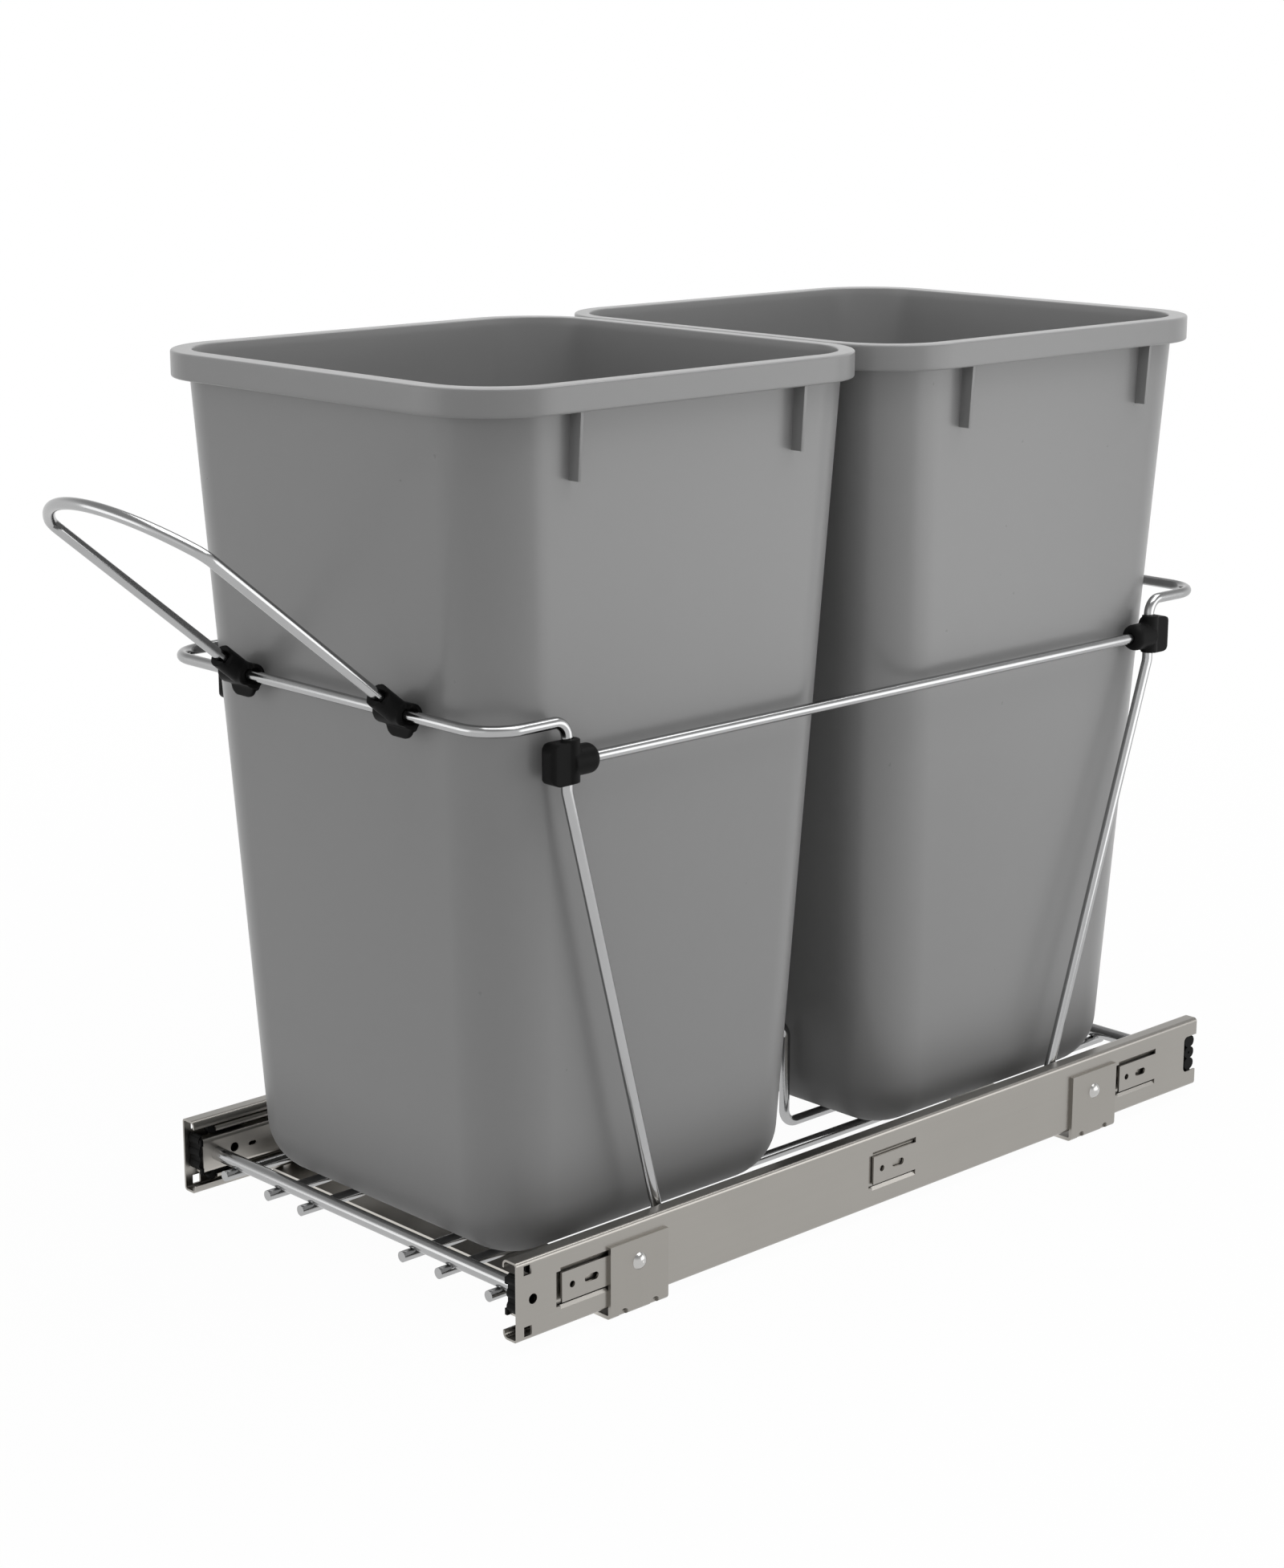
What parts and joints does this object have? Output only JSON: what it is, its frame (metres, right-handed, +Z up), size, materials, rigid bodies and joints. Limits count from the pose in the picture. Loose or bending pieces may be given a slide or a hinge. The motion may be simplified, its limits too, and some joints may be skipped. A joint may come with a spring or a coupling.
{
  "type": "pull-out bin frame",
  "caption": "Wire carriage with lift-out bins that pulls out of a cabinet on floor-mounted three-member ball slides, with hinged pull handle, bin hoops, side rods and divider arches.",
  "frame": {"origin": "centre of the four floor-screw holes, on the underside of the floor straps", "axes": "+X to the right of a person who faces the open cabinet, +Y to the rear of the cabinet, +Z up"},
  "size_m": [0.2942, 0.702, 0.4815],
  "materials": {
    "slide_steel": "zinc plated, satin",
    "strap_steel": "zinc plated, satin",
    "ball_steel": "polished",
    "chrome_wire": "bright plated",
    "black_plastic": "moulded, fine grain",
    "bin_plastic": "moulded, satin"
  },
  "bodies": {
    "base": {"left_outer_member": "slide_steel", "right_outer_member": "slide_steel", "front_cross_strap": "strap_steel", "rear_cross_strap": "strap_steel", "strap_rivets": "strap_steel", "left_rear_bumper": "black_plastic", "right_rear_bumper": "black_plastic"},
    "carriage": {"left_inner_member": "slide_steel", "right_inner_member": "slide_steel", "left_front_bumper": "black_plastic", "right_front_bumper": "black_plastic", "front_cross_rod": "chrome_wire", "rear_cross_rod": "chrome_wire", "left_outer_floor_wire": "chrome_wire", "right_outer_floor_wire": "chrome_wire", "left_middle_floor_wire": "chrome_wire", "right_middle_floor_wire": "chrome_wire", "left_arched_floor_wire": "chrome_wire", "right_arched_floor_wire": "chrome_wire", "front_hoop": "chrome_wire", "rear_hoop": "chrome_wire", "left_side_rod": "chrome_wire", "right_side_rod": "chrome_wire", "front_left_rod_clip": "black_plastic", "front_right_rod_clip": "black_plastic", "rear_left_rod_clip": "black_plastic", "rear_right_rod_clip": "black_plastic"},
    "left_intermediate": {"left_intermediate_member": "slide_steel", "left_front_guide": "black_plastic"},
    "left_outer_ball_set": {"left_outer_cage": "slide_steel", "left_outer_balls": "ball_steel"},
    "left_inner_ball_set": {"left_inner_cage": "slide_steel", "left_inner_balls": "ball_steel"},
    "right_intermediate": {"right_intermediate_member": "slide_steel", "right_front_guide": "black_plastic"},
    "right_outer_ball_set": {"right_outer_cage": "slide_steel", "right_outer_balls": "ball_steel"},
    "right_inner_ball_set": {"right_inner_cage": "slide_steel", "right_inner_balls": "ball_steel"},
    "handle": {"handle_wire": "chrome_wire", "left_handle_clip": "black_plastic", "right_handle_clip": "black_plastic"},
    "front_bin_body": {"front_bin": "bin_plastic"},
    "rear_bin_body": {"rear_bin": "bin_plastic"}
  },
  "joints": [
    {"name": "carriage_slide", "type": "slide", "parent": "base", "child": "carriage", "axis": [0, -1, 0], "range_m": [0, 0.53]},
    {"name": "left_intermediate_slide", "type": "slide", "parent": "base", "child": "left_intermediate", "axis": [0, -1, 0], "range_m": [0, 0.2655]},
    {"name": "left_outer_ball_set_slide", "type": "slide", "parent": "base", "child": "left_outer_ball_set", "axis": [0, -1, 0], "range_m": [0, 0.133]},
    {"name": "left_inner_ball_set_slide", "type": "slide", "parent": "base", "child": "left_inner_ball_set", "axis": [0, -1, 0], "range_m": [0, 0.398]},
    {"name": "right_intermediate_slide", "type": "slide", "parent": "base", "child": "right_intermediate", "axis": [0, -1, 0], "range_m": [0, 0.2655]},
    {"name": "right_outer_ball_set_slide", "type": "slide", "parent": "base", "child": "right_outer_ball_set", "axis": [0, -1, 0], "range_m": [0, 0.133]},
    {"name": "right_inner_ball_set_slide", "type": "slide", "parent": "base", "child": "right_inner_ball_set", "axis": [0, -1, 0], "range_m": [0, 0.398]},
    {"name": "handle_swing", "type": "hinge", "parent": "carriage", "child": "handle", "pos_m": [0, -0.27497, 0.3174], "axis": [1, 0, 0], "range_deg": [-42, 35]},
    {"name": "front_bin_lift", "type": "slide", "parent": "carriage", "child": "front_bin_body", "axis": [0, 0, 1], "range_m": [0, 0.5]},
    {"name": "rear_bin_lift", "type": "slide", "parent": "carriage", "child": "rear_bin_body", "axis": [0, 0, 1], "range_m": [0, 0.5]}
  ],
  "couplings": [
    {"joint": "left_intermediate_slide", "follows": "carriage_slide", "ratio": 0.5},
    {"joint": "left_outer_ball_set_slide", "follows": "carriage_slide", "ratio": 0.25},
    {"joint": "left_inner_ball_set_slide", "follows": "carriage_slide", "ratio": 0.75},
    {"joint": "right_intermediate_slide", "follows": "carriage_slide", "ratio": 0.5},
    {"joint": "right_outer_ball_set_slide", "follows": "carriage_slide", "ratio": 0.25},
    {"joint": "right_inner_ball_set_slide", "follows": "carriage_slide", "ratio": 0.75}
  ]
}
